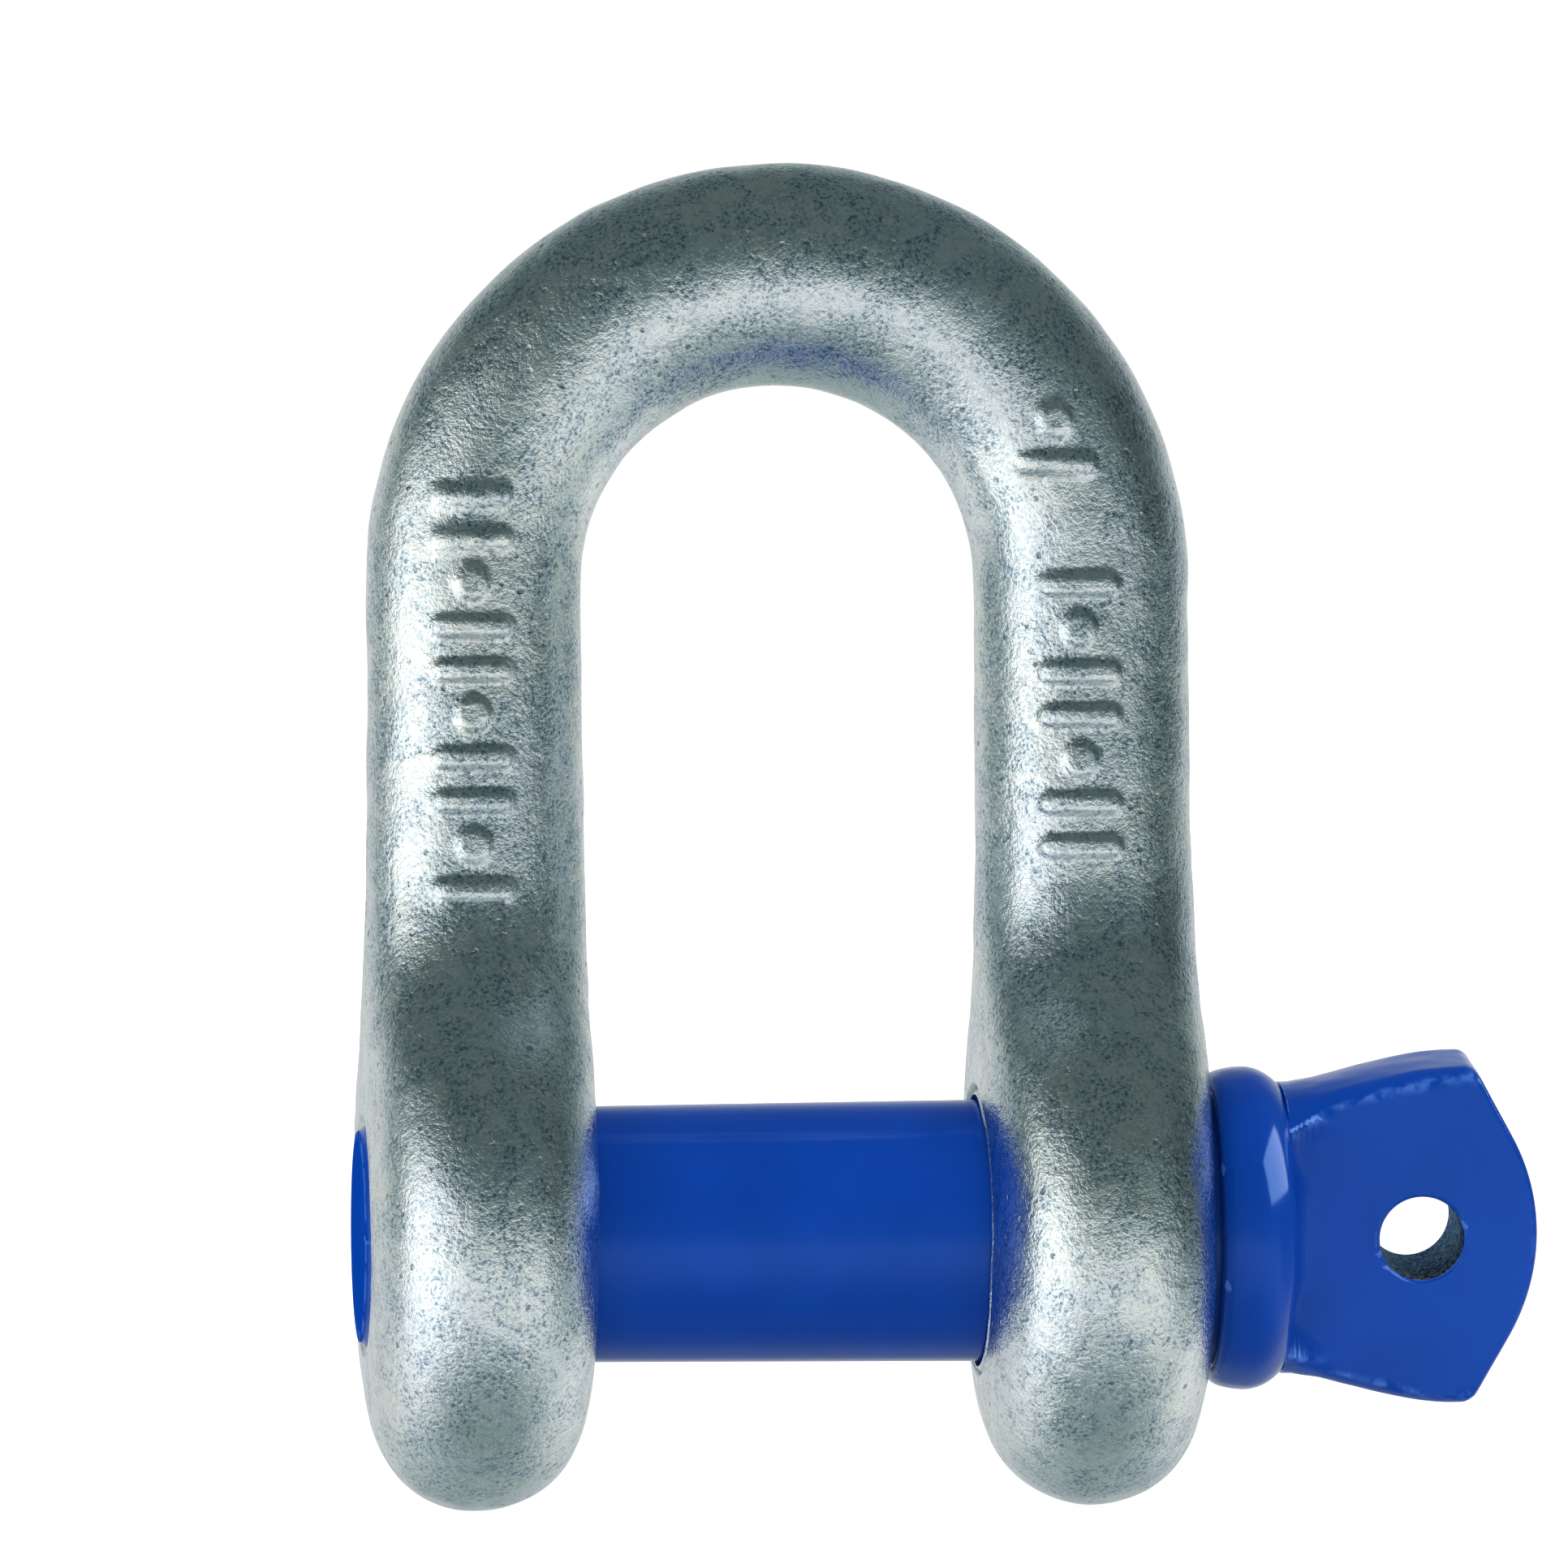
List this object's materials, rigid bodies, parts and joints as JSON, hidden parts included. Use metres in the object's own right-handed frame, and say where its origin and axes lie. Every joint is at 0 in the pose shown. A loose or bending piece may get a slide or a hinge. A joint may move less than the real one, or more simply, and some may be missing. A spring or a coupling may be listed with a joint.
{
  "type": "screw pin dee shackle",
  "caption": "Forged dee shackle with parallel legs, a half-round crown and round eyes, closed by a threaded screw pin with a round collar and a flat eyed head.",
  "frame": {"origin": "on the pin's axis, midway between the two eyes", "axes": "+Z from the pin up to the crown, +X along the pin towards its head, Y across the shackle"},
  "size_m": [0.1289, 0.0604, 0.1471],
  "materials": {
    "galvanised_steel": "hot-dip galvanised, mottled and slightly pitted, satin",
    "blue_enamel": "glossy royal blue enamel over forged steel"
  },
  "bodies": {
    "body": {"shackle_body": "galvanised_steel"},
    "collar": {"pin_collar": "blue_enamel"},
    "pin": {"screw_pin": "blue_enamel"}
  },
  "joints": [
    {"name": "pin_travel", "type": "slide", "parent": "body", "child": "collar", "axis": [1, 0, 0], "range_m": [0, 0.0989]},
    {"name": "pin_turn", "type": "hinge", "parent": "collar", "child": "pin", "pos_m": [0, 0, 0], "axis": [1, 0, 0], "range_deg": [0, 9810]}
  ],
  "couplings": [
    {"joint": "pin_turn", "follows": "pin_travel", "rad_per_m": 1731.6}
  ]
}
